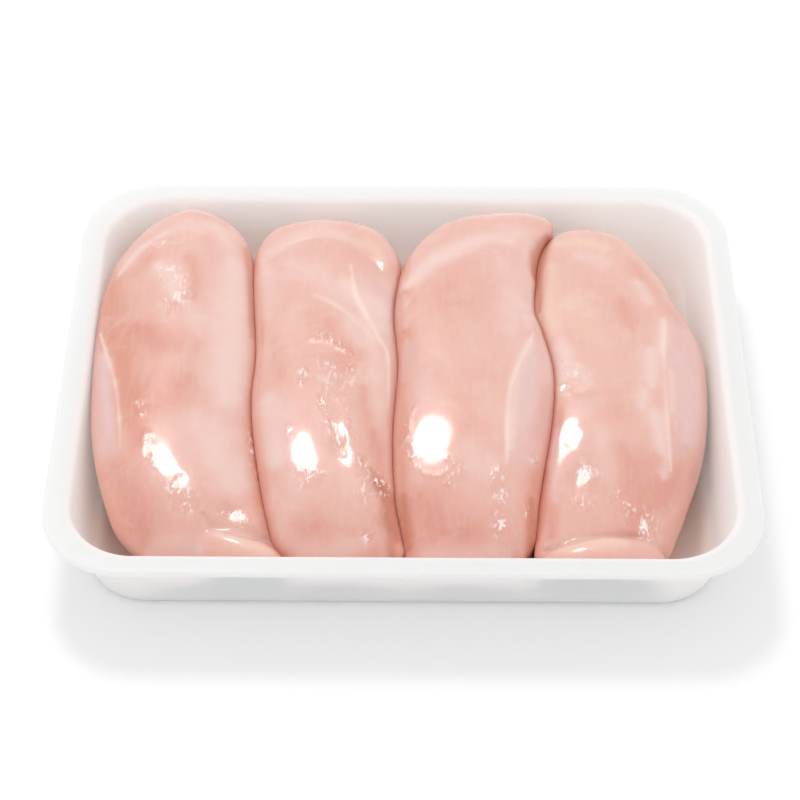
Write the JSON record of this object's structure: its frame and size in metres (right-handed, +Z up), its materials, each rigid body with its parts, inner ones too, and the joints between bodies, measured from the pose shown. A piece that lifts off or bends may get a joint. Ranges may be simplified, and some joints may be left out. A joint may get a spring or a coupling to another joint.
{
  "type": "meat tray pack",
  "caption": "Open white foam food tray with raised rim, holding raw boneless chicken breast fillets laid side by side.",
  "frame": {"origin": "centre of the tray's base, on the surface that the tray stands on", "axes": "+X along the tray's long side, across the fillets; +Y along the fillets, from the folded ends to the thick ends; +Z up"},
  "size_m": [0.267, 0.211, 0.0411],
  "materials": {
    "foam": "smooth white foam, soft satin",
    "meat": "moist raw meat, pale pink, wet gloss"
  },
  "bodies": {
    "root": {"tray": "foam", "fillet_1": "meat", "fillet_2": "meat", "fillet_3": "meat", "fillet_4": "meat"}
  },
  "joints": []
}
